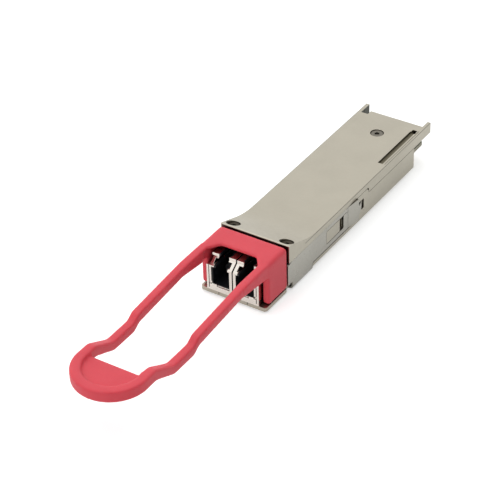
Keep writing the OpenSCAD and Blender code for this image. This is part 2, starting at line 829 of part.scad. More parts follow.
module retimer_thermal_pad() {
    w = retimer_x + 1.6;
    l = retimer_l/2 - clear;
    z = board_top + chip_h;
    color([0.55, 0.62, 0.70]) placed() block([-w, retimer_y - l, z], [w, retimer_y + l, z + pad_t]);
}

module optics_thermal_pad() {
    w = (fibre_pitch + optic_w)/2 - 0.375;
    z = fibre_z + optic_h/2;
    color([0.55, 0.62, 0.70]) placed()
        block([-w, optic_front + 1.4, z], [w, optic_rear - 1.4, z + pad_t]);
}

/* ---------- gaskets ---------- */

// Elastomer cord that lies inside the seam
module seam_gasket() {
    gasket_w = 0.35;
    block([cavity_w/2 - gasket_w, optics_end + 1, seam_z - 0.6], [cavity_w/2, base_len - 1.2, seam_z + 0.3]);
}

module seam_gasket_left() {
    color([0.25, 0.25, 0.26]) placed() mirror([1, 0, 0]) seam_gasket();
}

module seam_gasket_right() {
    color([0.25, 0.25, 0.26]) placed() seam_gasket();
}

// Foam strip over the receptacle's flange
module nose_gasket() {
    w = front_screw_x - front_boss_r - clear;
    color([0.22, 0.22, 0.23]) placed()
        block([-w, clear, front_boss_z - clear], [w, flange_y, frame_top + clear]);
}

/* ---------- latch bracket ---------- */

module arm_plate_outline() {
    front = clear - collar_gap;
    difference() {
        polygon(rounded([
            [front, arm_z + 0.2, 0], [chin_y - 0.3, arm_z + 0.2, 0.3],
            [chin_y, chin_z + chin_r, 0], [chin_end, chin_z + chin_r, 0],
            [chin_end, recess_z, 0], [chin_end + arm_z - recess_z, arm_z, 0],
            [flap_y + eps, arm_z, 0], [flap_y + eps, arm_top, 0],
            [0.7, arm_top, 0], [front, arm_top - 0.45, 0]]));
        // window, and a relief slit behind its upper edge
        polygon(rounded([
            [window_y, window_z, 0.3], [window_end, window_z, 0.3],
            [window_end, window_z + window_h, 0], [window_y, window_z + window_h, 0.3]], 4));
        translate([window_end - eps, window_z + window_h - slit_h]) square([bridge_len - crease, slit_h]);
    }
}

// Flap that leans out of the recess, with a narrow tip that hooks back in
module flap() {
    tip_x = arm_in + flap_out;
    difference() {
        upwards(arm_z, arm_top - arm_z) polygon([
            [arm_in, flap_y - eps], [half_w, flap_y - eps],
            [half_w + flap_out, flap_end], [half_w - hook, tip_end],
            [arm_in - hook, tip_end], [tip_x, flap_end]]);
        block([0, flap_end - 0.2, 0], [far, far, tip_z]);
        block([0, flap_end - 0.2, tip_z + tip_h], [far, far, far]);
    }
}

// Bend between side plate and chin
module chin_bend() {
    translate([half_w - chin_r, 0, chin_z + chin_r]) along_y(chin_y, chin_end) difference() {
        intersection() {
            circle(r = chin_r);
            translate([0, -chin_r]) square(chin_r);
        }
        circle(r = chin_r - sheet_t);
    }
}

// Tongue that the tab's leg is moulded over
module tongue() {
    y0 = tongue_back - leg_len;
    y1 = clear + 0.7 - collar_gap;
    block([tongue_x, clear - collar_gap, tongue_z[0]], [arm_in + clear, y1, tongue_z[1]]);
    block([tongue_x, y0, tongue_z[0]], [tongue_x + sheet_t, y1, tongue_z[1]]);
}

module bracket_half() {
    difference() {
        union() {
            along_x(arm_in, half_w) arm_plate_outline();
            flap();
        }
        block([half_w - crease/2, flap_y - crease, 0], [far, flap_y, far]);
    }
    chin_bend();
    block([-eps, chin_y, chin_z], [half_w - chin_r, chin_end, chin_z + sheet_t]);
    // lug that presses on the return spring
    block([spring_room_x + clear, spring_y + spring_len, spring_z - spring_r],
          [arm_in + clear, spring_y + spring_len + lug_t, spring_z + spring_r]);
    tongue();
}

module latch_bracket() {
    color([0.66, 0.65, 0.61]) placed() both_sides() bracket_half();
}

/* ---------- pull tab ---------- */

// Top line of the tab from the collar to the loop, lowered by drop
function tab_top(drop) = [
    [-collar_gap, collar_top - drop, 0],
    [-level_len, collar_top - drop, 12],
    [-step_y, strap_z - drop, 1.2],
    [-step_y - step_len, strap_z - step_h - drop, 1.2],
    [-climb_foot, strap_z - step_h - drop, 4],
    [-climb_head, loop_z - drop, 3],
    [front_end, loop_z - drop, 0]];

// Underside of the straps and rim
tab_under = [
    [front_end, loop_z - rim_t, 0],
    [-climb_head, loop_z - rim_t, 4],
    [-climb_foot, strap_z - step_h - strap_t, 3],
    [-step_y - step_len, strap_z - step_h - strap_t, 1.2],
    [-step_y, strap_z - strap_t, 1.2],
    [-leg_len - gusset_len, collar_top - strap_t, 3],
    [-leg_len, collar_top - strap_t - gusset_h, 0],
    [-collar_gap, collar_top - strap_t - gusset_h, 0]];

// Plate that follows the tab's top line from depth a down to depth b
module tab_plate(a, b, x) {
    along_x(-x, x) polygon(rounded(concat(tab_top(a), reversed(tab_top(b)))));
}

// Inner edge of the yoke: chamfered behind the straps' roots, closed by the web's straight edge
module tab_hole() {
    inner = strap_out_w/2 - strap_w;
    throat = 4.64;
    throat_y = leg_len - 1.9;
    root_y = leg_len + 0.9;
    pinch = loop_r - rim_w;
    web_y = loop_y - web_back;
    polygon(rounded([
        [-throat, -throat_y, 0.6], [throat, -throat_y, 0.6], [inner, -root_y, 1], [inner, -climb_foot, 3],
        [pinch, -web_y, 0.5], [-pinch, -web_y, 0.5], [-inner, -climb_foot, 3], [-inner, -root_y, 1]], 5));
}

module tab_plan() {
    difference() {
        union() {
            translate([-strap_out_w/2, -loop_y]) square([strap_out_w, loop_y - collar_gap]);
            translate([-collar_w/2, -leg_len]) square([collar_w, leg_len - collar_gap]);
            translate([0, -loop_y]) circle(r = loop_r, $fn = 72);
        }
        tab_hole();
    }
}

// Disc of the loop inside the rim
module web_plan() {
    translate([0, -loop_y]) circle(r = loop_r - rim_w, $fn = 64);
}

// Straps and rim, without the collar's plate and the web
module tab_straps() {
    intersection() {
        along_x(-half_w, half_w) polygon(rounded(concat(tab_top(0), tab_under)));
        upwards(0, far) difference() {
            tab_plan();
            web_plan();
            translate([-collar_in_w/2, -collar_len]) square([collar_in_w, collar_len]);
        }
    }
}

module tab_collar() {
    intersection() {
        tab_plate(0, collar_t, collar_in_w/2 + eps);
        upwards(0, far) intersection() {
            tab_plan();
            translate([-half_w, -collar_len]) square([module_w, collar_len]);
        }
    }
}

module tab_web() {
    intersection() {
        tab_plate(web_drop, web_drop + web_t, half_w);
        upwards(0, far) intersection() {
            web_plan();
            tab_plan();
        }
    }
}

// Leg of the collar, with a pocket round the bracket's tongue
module tab_leg() {
    fit = 0.04;
    difference() {
        along_x(collar_in_w/2, collar_w/2) polygon(rounded([
            [-collar_gap, leg_z, 0.3], [-collar_gap, collar_top - collar_t/2, 0],
            [-leg_len, collar_top - collar_t/2, 0], [-leg_len, leg_z, 0.5]], 6));
        block([tongue_x - fit, tongue_back - leg_len - fit, tongue_z[0] - fit],
              [tongue_x + sheet_t + fit, 0, tongue_z[1] + fit]);
    }
}

// What is cut off to round the collar's long upper edges
module collar_edge() {
    translate([collar_w/2 - collar_round, 0, collar_top - collar_round]) along_y(-leg_len, eps)
        difference() {
            square(2*collar_round);
            circle(r = collar_round);
        }
}

module pull_tab() {
    color([0.90, 0.36, 0.40]) placed() difference() {
        union() {
            tab_straps();
            tab_collar();
            tab_web();
            both_sides() tab_leg();
        }
        both_sides() collar_edge();
        translate([0, -collar_gap, collar_top]) rotate([45, 0, 0])
            cube([far, collar_bevel*sqrt(2), collar_bevel*sqrt(2)], center = true);
    }
}

/* ---------- return springs ---------- */

// Helix of a round wire as one closed tube, with its axis along Y
module spring_coil() {
    ring_n = 6;
    per_turn = 10;
    rings = spring_turns*per_turn;
    mid_r = spring_r - spring_wire/2;
    rise = spring_len - spring_wire;
    function ring_point(i, j) =
        let (a = 360*i/per_turn, b = 360*j/ring_n, r = mid_r + spring_wire/2*cos(b))
        [r*cos(a), spring_wire/2 + rise*i/rings + spring_wire/2*sin(b), r*sin(a)];
    points = [for (i = [0:rings]) for (j = [0:ring_n - 1]) ring_point(i, j)];
    walls = [for (i = [0:rings - 1]) for (j = [0:ring_n - 1])
        let (k = (j + 1)%ring_n, a = i*ring_n) each
        [[a + j, a + k, a + ring_n + j], [a + k, a + ring_n + k, a + ring_n + j]]];
    caps = [for (j = [1:ring_n - 2]) each
        [[0, j + 1, j], [rings*ring_n, rings*ring_n + j, rings*ring_n + j + 1]]];
    translate([spring_x, spring_y, spring_z]) polyhedron(points, concat(walls, caps));
}

module return_spring_left() {
    color([0.78, 0.78, 0.80]) placed() mirror([1, 0, 0]) spring_coil();
}

module return_spring_right() {
    color([0.78, 0.78, 0.80]) placed() spring_coil();
}

/* ---------- assembly ---------- */

top_cover();
base_shell();
front_screws();
rear_screw();
port_frame_left();
port_frame_right();
receptacle_body();
ceramic_sleeve_left();
ceramic_sleeve_right();
transmitter_housing();
receiver_housing();
transmitter_flex();
receiver_flex();
circuit_board();
edge_contacts_top();
edge_contacts_bottom();
transmit_retimer();
receive_retimer();
microcontroller();
laser_driver();
small_components();
retimer_thermal_pad();
optics_thermal_pad();
seam_gasket_left();
seam_gasket_right();
nose_gasket();
latch_bracket();
pull_tab();
return_spring_left();
return_spring_right();
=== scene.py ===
"""Looks of a pluggable optical transceiver: nickel shells, latch bracket, duplex ports, red pull tab.

Metres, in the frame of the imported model: X across the module, Y from the pull tab to the card edge,
Z up.
Boxes on the module are in millimetres from the cover's front edge and the base's underside.
"""

import json
import math

import bmesh
import bpy
from mathutils import Matrix, Vector

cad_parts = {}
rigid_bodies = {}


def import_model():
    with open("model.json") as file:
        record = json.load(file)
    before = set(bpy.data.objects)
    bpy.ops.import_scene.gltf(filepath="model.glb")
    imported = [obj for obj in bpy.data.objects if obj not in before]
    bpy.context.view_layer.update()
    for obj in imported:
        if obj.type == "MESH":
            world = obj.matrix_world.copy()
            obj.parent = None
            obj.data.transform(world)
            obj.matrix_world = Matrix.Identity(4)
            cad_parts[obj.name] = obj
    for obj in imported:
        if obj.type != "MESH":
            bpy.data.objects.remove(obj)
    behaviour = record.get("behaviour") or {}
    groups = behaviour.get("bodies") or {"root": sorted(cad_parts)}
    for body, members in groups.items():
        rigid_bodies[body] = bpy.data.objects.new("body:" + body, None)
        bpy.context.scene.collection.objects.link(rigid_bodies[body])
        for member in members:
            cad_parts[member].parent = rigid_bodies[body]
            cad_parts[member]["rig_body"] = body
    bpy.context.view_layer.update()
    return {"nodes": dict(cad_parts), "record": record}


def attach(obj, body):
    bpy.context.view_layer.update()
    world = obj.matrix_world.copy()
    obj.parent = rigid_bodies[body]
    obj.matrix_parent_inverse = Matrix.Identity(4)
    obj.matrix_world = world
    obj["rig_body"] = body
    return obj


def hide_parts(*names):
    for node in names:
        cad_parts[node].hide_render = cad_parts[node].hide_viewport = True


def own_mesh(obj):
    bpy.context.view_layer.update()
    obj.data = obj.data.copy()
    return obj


MM = 0.001
COVER_EDGE = Vector((0, -1.625, 1.16))   # cover's front edge, level with the base's underside
SIDES = (-1, 1)                          # left and right

# Camera: where the photograph was taken from, and its focal length on the sensor
CAMERA_PLACE = Vector((195.10, -300.705, 263.71)) * MM
CAMERA_AZIMUTH = math.radians(33.300)
CAMERA_ELEVATION = math.radians(35.526)
CAMERA_ROLL = math.radians(-1.459)
CAMERA_LENS = 138.94
CAMERA_SENSOR = 36
CAMERA_NEAR, CAMERA_FAR = 0.01, 20

FLOOR_HALF = 3.0
FLOOR_COLOUR = (0.79, 0.80, 0.80)
FLOOR_GLOW = 0.51                        # what the camera sees of it
FLOOR_SHINE = 0.24                       # what reflections see of it

# Sky: its strength where the direction's X is up to the first value, and from the second one on
SKY_TURN = (0.1, 0.6)
SKY_STRENGTH = (1.05, 0.40)

LAMP_PLACE = Vector((-0.25, 0.10, 0.9))
LAMP_WIDTH = 0.6
LAMP_POWER = 1.2

WELD = 0.0005 * MM                       # vertices nearer than this are one
FLAT = math.radians(0.4)                 # faces that meet at less than this are one
SHARP = math.radians(28)                 # edges that turn by more than this are rounded or kept sharp
TAB_CELL = 0.14 * MM                     # cells that the tab is remeshed in
TAB_PASSES = 80                          # smoothing passes over them
TAB_FACES = 0.4                          # share of its faces that is kept

SLEEVE_X, SLEEVE_FRONT, SLEEVE_Z = 3.125, -5.4, 4.45
LIP_INNER, LIP_OUTER, LIP_LENGTH = 0.64 * MM, 0.83 * MM, 0.18 * MM

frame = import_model()


# ---------------------------------------------------------------- helpers

def add_node(tree, kind, inputs=None, **settings):
    """Adds a node. Each input is a value, or the output of another node."""
    node = tree.nodes.new(kind)
    for name, value in settings.items():
        setattr(node, name, value)
    for socket, value in (inputs or {}).items():
        if isinstance(value, bpy.types.NodeSocket):
            tree.links.new(value, node.inputs[socket])
        else:
            node.inputs[socket].default_value = value
    return node


def show(name, data):
    """Adds an object with that data to the scene."""
    thing = bpy.data.objects.new(name, data)
    bpy.context.scene.collection.objects.link(thing)
    return thing


def mesh_of(bm, name, smooth=False):
    """Mesh made from a bmesh, which is used up."""
    mesh = bpy.data.meshes.new(name)
    bm.to_mesh(mesh)
    bm.free()
    if smooth:
        smooth_faces(mesh)
    return mesh


def smooth_faces(mesh):
    """Shades every face of a mesh smooth."""
    for polygon in mesh.polygons:
        polygon.use_smooth = True


# ---------------------------------------------------------------- camera, floor and light

def aim_camera():
    """Camera at the photograph's place, turned by azimuth, elevation and roll."""
    data = bpy.data.cameras.new("Camera")
    data.lens = CAMERA_LENS
    data.sensor_width = CAMERA_SENSOR
    data.clip_start = CAMERA_NEAR
    data.clip_end = CAMERA_FAR
    camera = show("Camera", data)
    az, el, roll = CAMERA_AZIMUTH, CAMERA_ELEVATION, CAMERA_ROLL
    right = Vector((math.cos(az), math.sin(az), 0))
    back = Vector((math.sin(az) * math.cos(el), -math.cos(az) * math.cos(el), math.sin(el)))
    up = back.cross(right)
    rolled_right = right * math.cos(roll) + up * math.sin(roll)
    rolled_up = up * math.cos(roll) - right * math.sin(roll)
    turn = Matrix((rolled_right, rolled_up, back)).transposed()
    camera.matrix_world = Matrix.Translation(CAMERA_PLACE) @ turn.to_4x4()
    bpy.context.scene.camera = camera


def pale_floor():
    """Plain pale material with a glow for the camera and a weaker one in reflections."""
    material = bpy.data.materials.new("Pale floor")
    material.use_nodes = True
    tree = material.node_tree
    tree.nodes.clear()
    path = add_node(tree, "ShaderNodeLightPath")
    glow = add_node(tree, "ShaderNodeMath", {0: path.outputs["Is Camera Ray"], 1: FLOOR_GLOW},
                    operation="MULTIPLY")
    strength = add_node(tree, "ShaderNodeMath", {
        0: path.outputs["Is Glossy Ray"], 1: FLOOR_SHINE, 2: glow.outputs[0]}, operation="MULTIPLY_ADD")
    diffuse = add_node(tree, "ShaderNodeBsdfDiffuse", {"Color": (*FLOOR_COLOUR, 1)})
    emission = add_node(tree, "ShaderNodeEmission", {"Strength": strength.outputs[0]})
    total = add_node(tree, "ShaderNodeAddShader", {0: diffuse.outputs[0], 1: emission.outputs[0]})
    add_node(tree, "ShaderNodeOutputMaterial", {"Surface": total.outputs[0]})
    return material


def make_floor():
    """Wide pale floor, level with the underside of the module."""
    bm = bmesh.new()
    bmesh.ops.create_grid(bm, x_segments=1, y_segments=1, size=FLOOR_HALF)
    floor = show("Floor", mesh_of(bm, "Floor"))
    floor.data.materials.append(pale_floor())


def light_scene():
    """Soft studio light: a bright surround, weaker on the right, and a broad weak lamp above."""
    bpy.context.scene.view_settings.view_transform = "Standard"
    world = bpy.data.worlds.new("Studio")
    bpy.context.scene.world = world
    world.use_nodes = True
    tree = world.node_tree

    # darker towards the right, so that edges and faces turned that way stand out
    direction = add_node(tree, "ShaderNodeTexCoord")
    split = add_node(tree, "ShaderNodeSeparateXYZ", {0: direction.outputs["Generated"]})
    level = add_node(tree, "ShaderNodeMapRange", {
        "Value": split.outputs["X"], "From Min": SKY_TURN[0], "From Max": SKY_TURN[1],
        "To Min": SKY_STRENGTH[0], "To Max": SKY_STRENGTH[1]})
    path = add_node(tree, "ShaderNodeLightPath")
    seen = add_node(tree, "ShaderNodeMath", {0: path.outputs["Is Camera Ray"], 1: level.outputs[0]},
                    operation="MAXIMUM")
    background = tree.nodes["Background"]
    background.inputs["Color"].default_value = (1, 1, 1, 1)
    tree.links.new(seen.outputs[0], background.inputs["Strength"])

    data = bpy.data.lights.new("Above", "AREA")
    data.shape = "RECTANGLE"
    data.size = data.size_y = LAMP_WIDTH
    data.energy = LAMP_POWER
    lamp = show("Above", data)
    lamp.location = LAMP_PLACE
    lamp.rotation_euler = (-LAMP_PLACE).to_track_quat("-Z", "Y").to_euler()


# ---------------------------------------------------------------- materials

class Finish:
    """Node material round one Principled shader. Textures are in the object's own metres."""

    def __init__(self, name, colour, roughness, metallic=0.0, **values):
        self.material = bpy.data.materials.new(name)
        self.material.use_nodes = True
        self.tree = self.material.node_tree
        self.shader = self.tree.nodes["Principled BSDF"]
        self.coords = self.new("ShaderNodeTexCoord")
        self.set("Base Color", (*colour, 1))
        self.set("Roughness", roughness)
        self.set("Metallic", metallic)
        for key, value in values.items():
            self.set(key.replace("_", " "), value)

    def new(self, kind, inputs=None, **settings):
        """Adds a node to the material."""
        return add_node(self.tree, kind, inputs, **settings)

    def set(self, socket, value):
        """Sets a shader input that is the same all over."""
        self.shader.inputs[socket].default_value = value

    def drive(self, socket, output):
        """Feeds a shader input from a node's output."""
        self.tree.links.new(output, self.shader.inputs[socket])

    def calc(self, operation, *values):
        """Result of a Math node on those values."""
        return self.new("ShaderNodeMath", dict(enumerate(values)), operation=operation).outputs[0]

    def noise(self, feature, detail):
        """Noise whose features are about that many metres across."""
        texture = self.new("ShaderNodeTexNoise", {
            "Vector": self.coords.outputs["Object"], "Scale": 1 / feature, "Detail": detail})
        return texture.outputs["Fac"]

    def spread(self, output, low, high, start=0.3, end=0.7):
        """A texture's value between start and end, mapped to low and high."""
        return self.new("ShaderNodeMapRange", {
            "Value": output, "From Min": start, "From Max": end, "To Min": low, "To Max": high}).outputs[0]

    def blend(self, factor, a, b):
        """Colour a where the factor is 0 and b where it is 1; each is a colour or a colour output."""
        node = self.new("ShaderNodeMix", {"Factor": factor}, data_type="RGBA")
        for socket, value in (("A", a), ("B", b)):
            target = next(i for i in node.inputs if i.name == socket and i.type == "RGBA")
            if isinstance(value, tuple):
                target.default_value = (*value, 1)
            else:
                self.tree.links.new(value, target)
        return next(o for o in node.outputs if o.type == "RGBA")

    def rough(self, feature, detail, low, high):
        """Roughness that varies between two values in patches of that size."""
        self.drive("Roughness", self.spread(self.noise(feature, detail), low, high))

    def bump(self, feature, detail, depth):
        """Fine relief of that depth, over the rounded normal if there is one."""
        node = self.new("ShaderNodeBump", {"Height": self.noise(feature, detail), "Distance": depth})
        socket = self.shader.inputs["Normal"]
        if socket.is_linked:
            self.tree.links.new(socket.links[0].from_socket, node.inputs["Normal"])
        self.tree.links.new(node.outputs[0], socket)

    def rounded(self, radius):
        """Normal that turns softly round every edge."""
        return self.new("ShaderNodeBevel", {"Radius": radius}, samples=6).outputs[0]

    def edge(self, radius):
        """1 on sharp edges and 0 on flat ground: how far a rounded normal turns from the true one."""
        plain = self.new("ShaderNodeNewGeometry").outputs["Normal"]
        dot = self.new("ShaderNodeVectorMath", {0: self.rounded(radius), 1: plain},
                       operation="DOT_PRODUCT")
        return self.spread(dot.outputs["Value"], 1, 0, 0.80, 0.99)

    def crevice(self, reach, start, end):
        """1 deep in gaps narrower than about that reach and 0 on open ground."""
        node = self.new("ShaderNodeAmbientOcclusion", {"Distance": reach}, samples=8)
        return self.spread(node.outputs["AO"], 1, 0, start, end)

    def inside(self, low, high):
        """1 within a box and 0 outside it."""
        split = self.new("ShaderNodeSeparateXYZ", {0: self.coords.outputs["Object"]})
        product = None
        for axis in range(3):
            middle = (low[axis] + high[axis]) / 2 + COVER_EDGE[axis]
            half = (high[axis] - low[axis]) / 2
            near = self.calc("COMPARE", split.outputs[axis], middle * MM, half * MM)
            product = near if product is None else self.calc("MULTIPLY", product, near)
        return product


# Places on the die-cast shells with painted shade and painted reflections, fixed to the part: two corners
# and a colour.
# They stand for shade and reflections that the photograph shows there.
PAINTED_SHADE_SPOTS = [
    ((6.7, 44.0, 7.9), (7.75, 62.3, 8.46), (0.135, 0.120, 0.080)),     # painted shade on the floor of the groove
    ((6.9, 60.0, 6.5), (8.25, 62.3, 7.9), (0.010, 0.010, 0.008)),      # painted shade in the well at its end
    ((-8.4, 62.0, 5.0), (-6.3, 68.0, 8.45), (0.060, 0.060, 0.048)),    # painted shade and dark reflection in the notch in the rear left corner
    ((-8.9, -0.3, 7.2), (8.9, 0.04, 11.62), (0.075, 0.040, 0.036)),    # painted shade and red reflection on the front face, behind the tab's collar
    ((9.07, 7.0, 8.40), (9.3, 68.0, 8.6), (0.20, 0.185, 0.150)),       # painted dark reflections along the top edges
    ((-9.3, 7.0, 8.40), (-9.07, 68.0, 8.6), (0.20, 0.185, 0.150)),
]
RIGHT_SIDE = ((8.9, 0.3, 7.2), (9.3, 68, 12.2))    # painted dark reflections on the edges here, painted highlights on the edges everywhere else
RIGHT_EDGE_REFLECTION = (0.15, 0.14, 0.12)
# painted shade in narrow gaps and seams
CREVICE_SHADE = (0.030, 0.022, 0.018)


def nickel(name, colour, pale, roughness, grain=0.12 * MM, reach=0.7 * MM, shade_spots=()):
    """Satin nickel plating: fine grain, soft clouds in tone, painted highlights on round edges, painted
    shade in gaps, places of painted shade and reflection.
    """
    f = Finish(name, colour, roughness, 1.0)
    clouds = f.spread(f.noise(9 * MM, 2), 0, 1)
    toned = f.blend(clouds, colour, tuple(c * 0.94 for c in colour))
    # painted highlights on edges, with painted dark reflections on the edges on the right side
    tone = f.blend(f.edge(0.12 * MM), toned, f.blend(f.inside(*RIGHT_SIDE), pale, RIGHT_EDGE_REFLECTION))
    # painted shade and painted reflections, fixed to these places on the part
    for low, high, painted_tone in shade_spots:
        tone = f.blend(f.inside(low, high), tone, painted_tone)
    # painted shade deep in narrow gaps
    f.drive("Base Color", f.blend(f.crevice(reach, 0.15, 0.72), tone, CREVICE_SHADE))
    f.drive("Normal", f.rounded(0.09 * MM))
    f.rough(0.9 * MM, 4, roughness - 0.04, roughness + 0.06)
    f.bump(grain, 2, 0.0025 * MM)
    return f.material


def moulded_red():
    """Soft-touch moulded tab: faint orange-peel relief and a slight sheen."""
    colour, deeper = (0.76, 0.062, 0.088), (0.72, 0.055, 0.080)
    f = Finish("Red moulding", colour, 0.46, Subsurface_Weight=0.3, Subsurface_Scale=0.6 * MM,
               Subsurface_Radius=(1.0, 0.25, 0.22), Specular_IOR_Level=0.42)
    f.drive("Base Color", f.blend(f.spread(f.noise(5 * MM, 3), 0, 1), colour, deeper))
    f.rough(0.6 * MM, 3, 0.42, 0.52)
    f.drive("Normal", f.rounded(0.4 * MM))
    f.bump(0.16 * MM, 3, 0.006 * MM)
    return f.material


def black_plastic():
    """Black moulding with a fine grain."""
    f = Finish("Black moulding", (0.006, 0.007, 0.010), 0.42)
    f.rough(0.4 * MM, 3, 0.37, 0.52)
    f.bump(0.1 * MM, 2, 0.003 * MM)
    return f.material


def plain_metal(name, colour, roughness, grain=0.08 * MM):
    """Bare or plated metal in one tone, with a fine grain."""
    f = Finish(name, colour, roughness, 1.0)
    f.rough(grain * 6, 3, roughness - 0.05, roughness + 0.08)
    f.bump(grain, 2, 0.002 * MM)
    return f.material


def speckled(name, colour, other, feature, roughness):
    """Two tones in fine grains, for ceramic, pads, chips and gaskets, with painted shade in their gaps."""
    f = Finish(name, colour, roughness)
    mixed = f.blend(f.spread(f.noise(feature, 4), 0, 1), colour, other)
    dark = tuple(c * 0.1 for c in colour)
    # painted shade in narrow gaps and hollows
    f.drive("Base Color", f.blend(f.crevice(1.5 * MM, 0.2, 0.7), mixed, dark))
    f.rough(feature * 3, 2, roughness - 0.06, roughness + 0.06)
    f.bump(feature, 3, 0.004 * MM)
    return f.material


def laminate():
    """Circuit board: green mask above and below, tan edges, painted shadow where it enters the housing."""
    mask, paler = (0.085, 0.10, 0.035), (0.11, 0.125, 0.045)
    tan, dark = (0.34, 0.31, 0.22), (0.012, 0.012, 0.010)
    f = Finish("Board laminate", mask, 0.42)
    green = f.blend(f.spread(f.noise(0.25 * MM, 4), 0, 1), mask, paler)
    facing = f.new("ShaderNodeSeparateXYZ", {0: f.coords.outputs["Normal"]})
    upright = f.calc("ABSOLUTE", facing.outputs["Z"])
    mixed = f.blend(f.spread(upright, 0, 1), tan, green)
    # painted shadow on the part of the board that enters the housing
    f.drive("Base Color", f.blend(f.inside((-9, 50, 0), (9, 60.25, 8)), mixed, dark))
    f.bump(0.25 * MM, 3, 0.004 * MM)
    return f.material


def screw_steel():
    """Dark plated steel, with painted shade in the recesses of the slope."""
    rear, front, dark = (0.20, 0.185, 0.155), (0.060, 0.050, 0.036), (0.008, 0.007, 0.006)
    f = Finish("Screw steel", rear, 0.38, 1.0)
    toned = f.blend(f.inside((-9, 0, 0), (9, 6, 13)), rear, front)
    # painted shade in the recesses
    f.drive("Base Color", f.blend(f.crevice(0.6 * MM, 0.15, 0.7), toned, dark))
    f.rough(0.5 * MM, 3, 0.30, 0.46)
    f.drive("Normal", f.rounded(0.06 * MM))
    f.bump(0.08 * MM, 2, 0.002 * MM)
    return f.material


def all_finishes():
    """Material of each slot in the record."""
    fine = 0.08 * MM
    return {
        "die_cast_nickel": nickel(
            "Die-cast nickel", (0.495, 0.462, 0.382), (0.60, 0.56, 0.48), 0.34, shade_spots=PAINTED_SHADE_SPOTS),
        "sheet_nickel": nickel(
            "Sheet nickel", (0.455, 0.438, 0.388), (0.60, 0.58, 0.52), 0.30, fine),
        "port_nickel": nickel(
            "Port nickel", (0.86, 0.81, 0.74), (0.95, 0.93, 0.88), 0.20, fine, 2.2 * MM),
        "screw_steel": screw_steel(),
        "spring_steel": plain_metal("Spring steel", (0.62, 0.62, 0.62), 0.25),
        "tab_red": moulded_red(),
        "receptacle_black": black_plastic(),
        "ceramic_white": speckled(
            "Zirconia", (0.84, 0.83, 0.78), (0.80, 0.79, 0.74), 0.2 * MM, 0.18),
        "gilt_can": plain_metal("Gilt can", (0.78, 0.60, 0.30), 0.28),
        "steel_can": plain_metal("Steel can", (0.60, 0.60, 0.60), 0.3),
        "flex_amber": speckled(
            "Flexible circuit", (0.55, 0.26, 0.05), (0.46, 0.20, 0.035), 0.5 * MM, 0.35),
        "board_green": laminate(),
        "contact_gold": plain_metal("Contact gold", (0.83, 0.60, 0.22), 0.22),
        "chip_black": speckled(
            "Chip moulding", (0.018, 0.018, 0.020), (0.028, 0.028, 0.030), 0.1 * MM, 0.5),
        "component_tan": speckled(
            "Component ceramic", (0.36, 0.25, 0.15), (0.30, 0.20, 0.12), 0.2 * MM, 0.45),
        "pad_grey": speckled("Thermal pad", (0.32, 0.40, 0.48), (0.27, 0.34, 0.42), 0.3 * MM, 0.8),
        "gasket_dark": speckled(
            "Gasket", (0.045, 0.045, 0.048), (0.06, 0.06, 0.062), 0.2 * MM, 0.7),
    }


# ---------------------------------------------------------------- mesh tools

def on_module(x, y, z):
    """A point given in millimetres on the module, in the model's metres."""
    return (Vector((x, y, z)) + COVER_EDGE) * MM


def side_box(side, low, high):
    """Corners of a box on the right (side 1), or of its mirror image on the left (side -1)."""
    left, right = sorted((side * low[0], side * high[0]))
    return on_module(left, *low[1:]), on_module(right, *high[1:])


def both(boxes):
    """The boxes on the right and their mirror images."""
    return [side_box(side, low, high) for side in SIDES for low, high in boxes]


def box(bm, low, high):
    """Adds a closed box between two corners."""
    for vert in bmesh.ops.create_cube(bm, size=1)["verts"]:
        vert.co = Vector(low[i] if vert.co[i] < 0 else high[i] for i in range(3))


def ring(bm, centre, inner, outer, length, steps=40):
    """Adds a flat ring round a line along Y, from its centre back by its length."""
    turns = [2 * math.pi * i / steps for i in range(steps)]
    loops = []
    for radius, y in ((inner, 0), (outer, 0), (outer, length), (inner, length)):
        points = [centre + Vector((radius * math.cos(t), y, radius * math.sin(t))) for t in turns]
        loops.append([bm.verts.new(point) for point in points])
    for a, b in zip(loops, loops[1:] + loops[:1]):
        for i in range(steps):
            j = (i + 1) % steps
            bm.faces.new((a[i], a[j], b[j], b[i]))


def evaluated(name, mesh, set_up):
    """The mesh after the modifiers that set_up adds to it."""
    piece = show(name, mesh)
    set_up(piece)
    result = bpy.data.meshes.new_from_object(piece.evaluated_get(bpy.context.evaluated_depsgraph_get()))
    bpy.data.objects.remove(piece)
    return result


def carved(mesh, boxes):
    """The mesh less some boxes, which may overlap."""
    tool = bmesh.new()
    for low, high in boxes:
        box(tool, low, high)
    cutter = show("Tool", mesh_of(tool, "Tool"))

    def set_up(piece):
        cut = piece.modifiers.new("Cut", "BOOLEAN")
        cut.operation = "DIFFERENCE"
        cut.solver = "EXACT"
        cut.use_self = True
        cut.object = cutter

    result = evaluated("Carved", mesh, set_up)
    bpy.data.objects.remove(cutter)
    return result


def bare_copy(node, less=()):
    """Copy of a CAD node's mesh, less some boxes, with its seams welded and its flat faces merged."""
    bm = bmesh.new()
    bm.from_mesh(frame["nodes"][node].data)
    bmesh.ops.remove_doubles(bm, verts=bm.verts, dist=WELD)
    if less:
        # the cut comes before the merging of faces, because it fails on faces with many corners
        whole = mesh_of(bm, "Whole")
        bm = bmesh.new()
        bm.from_mesh(carved(whole, less))
        bmesh.ops.remove_doubles(bm, verts=bm.verts, dist=WELD)
    bmesh.ops.dissolve_limit(bm, angle_limit=FLAT, verts=bm.verts, edges=bm.edges)
    return bm


# ---------------------------------------------------------------- pieces

def slot_of(node):
    """The record's material slot of a CAD node."""
    return next(part["material_slot"] for part in frame["record"]["subparts"] if part["node"] == node)


def dress(node):
    """A CAD node that is shown as it is gets its slot's material."""
    mesh = frame["nodes"][node].data
    mesh.materials.clear()
    mesh.materials.append(finishes[slot_of(node)])


